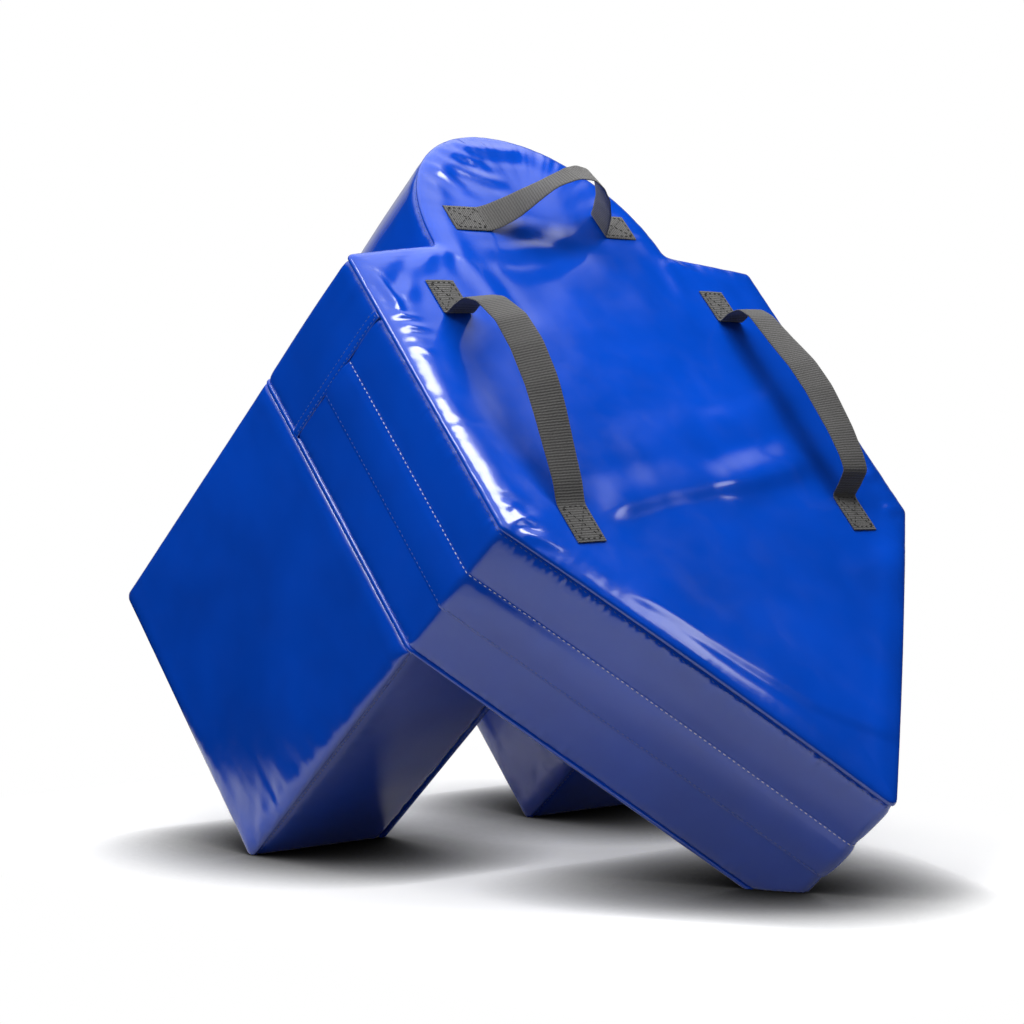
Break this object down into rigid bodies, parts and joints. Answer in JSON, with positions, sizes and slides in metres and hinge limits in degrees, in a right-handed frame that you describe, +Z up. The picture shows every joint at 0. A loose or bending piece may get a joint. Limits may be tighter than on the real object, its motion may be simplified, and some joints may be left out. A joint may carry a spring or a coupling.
{
  "type": "tackle shield",
  "caption": "Free-standing padded rugby tackle shield: foam body with a rounded head, shoulders, two legs and a pointed foot, in a sewn coated cover with webbing handles.",
  "frame": {"origin": "on the floor, in the middle of the bounding box of the standing shield", "axes": "+X across the shield, to the viewer's right when the face is seen; +Y from the pointed foot towards the legs, so that the face looks towards -Y and up; +Z up"},
  "size_m": [0.6586, 0.9908, 0.8714],
  "materials": {
    "coated_fabric": "glossy PVC-coated fabric, royal blue",
    "reinforcing_fabric": "satin PVC-coated fabric, darker blue",
    "foam": "matt open-cell foam, off-white",
    "webbing": "matt ribbed webbing, charcoal",
    "thread": "matt thread, near black",
    "zip_tape": "matt woven tape, near black",
    "zip_metal": "plated die-cast metal"
  },
  "bodies": {
    "shield": {"face_panel": "coated_fabric", "back_panel": "coated_fabric", "hood_gusset": "coated_fabric", "front_side_strip": "coated_fabric", "rear_side_strip": "coated_fabric", "zip_flap": "coated_fabric", "left_leg_outer_panel": "coated_fabric", "left_leg_inner_panel": "coated_fabric", "left_leg_wrap": "coated_fabric", "right_leg_outer_panel": "coated_fabric", "right_leg_inner_panel": "coated_fabric", "right_leg_wrap": "coated_fabric", "torso_foam": "foam", "head_foam": "foam", "left_leg_foam": "foam", "right_leg_foam": "foam", "zip_stringer_front": "zip_tape", "zip_stringer_rear": "zip_tape", "zip_left_stop": "zip_metal", "zip_right_stop": "zip_metal", "left_handle_upper_end": "webbing", "left_handle_lower_end": "webbing", "right_handle_upper_end": "webbing", "right_handle_lower_end": "webbing", "head_handle_left_end": "webbing", "head_handle_right_end": "webbing", "left_handle_upper_patch": "reinforcing_fabric", "left_handle_lower_patch": "reinforcing_fabric", "right_handle_upper_patch": "reinforcing_fabric", "right_handle_lower_patch": "reinforcing_fabric", "head_handle_left_patch": "reinforcing_fabric", "head_handle_right_patch": "reinforcing_fabric", "left_handle_upper_stitching": "thread", "left_handle_lower_stitching": "thread", "right_handle_upper_stitching": "thread", "right_handle_lower_stitching": "thread", "head_handle_left_stitching": "thread", "head_handle_right_stitching": "thread"},
    "left_grip": {"left_handle_loop": "webbing"},
    "right_grip": {"right_handle_loop": "webbing"},
    "head_grip": {"head_handle_loop": "webbing"},
    "zip_pull": {"zip_slider": "zip_metal", "zip_puller": "zip_metal"}
  },
  "joints": [
    {"name": "left_handle_swing", "type": "hinge", "parent": "shield", "child": "left_grip", "pos_m": [-0.22, -0.12869, 0.53261], "axis": [0, -0.6652, -0.7467], "range_deg": [-34, 34], "stiffness_Nm_per_rad": 0.15, "deforming": ["left_handle_upper_end", "left_handle_lower_end"]},
    {"name": "right_handle_swing", "type": "hinge", "parent": "shield", "child": "right_grip", "pos_m": [0.22, -0.12869, 0.53261], "axis": [0, -0.6652, -0.7467], "range_deg": [-46, 46], "stiffness_Nm_per_rad": 0.15, "deforming": ["right_handle_upper_end", "right_handle_lower_end"]},
    {"name": "head_handle_swing", "type": "hinge", "parent": "shield", "child": "head_grip", "pos_m": [0, 0.07061, 0.75617], "axis": [1, 0, 0], "range_deg": [-46, 46], "stiffness_Nm_per_rad": 0.15, "deforming": ["head_handle_left_end", "head_handle_right_end"]},
    {"name": "zip_slide", "type": "slide", "parent": "shield", "child": "zip_pull", "axis": [0, -0.6652, -0.7467], "range_m": [0, 0.255]}
  ]
}
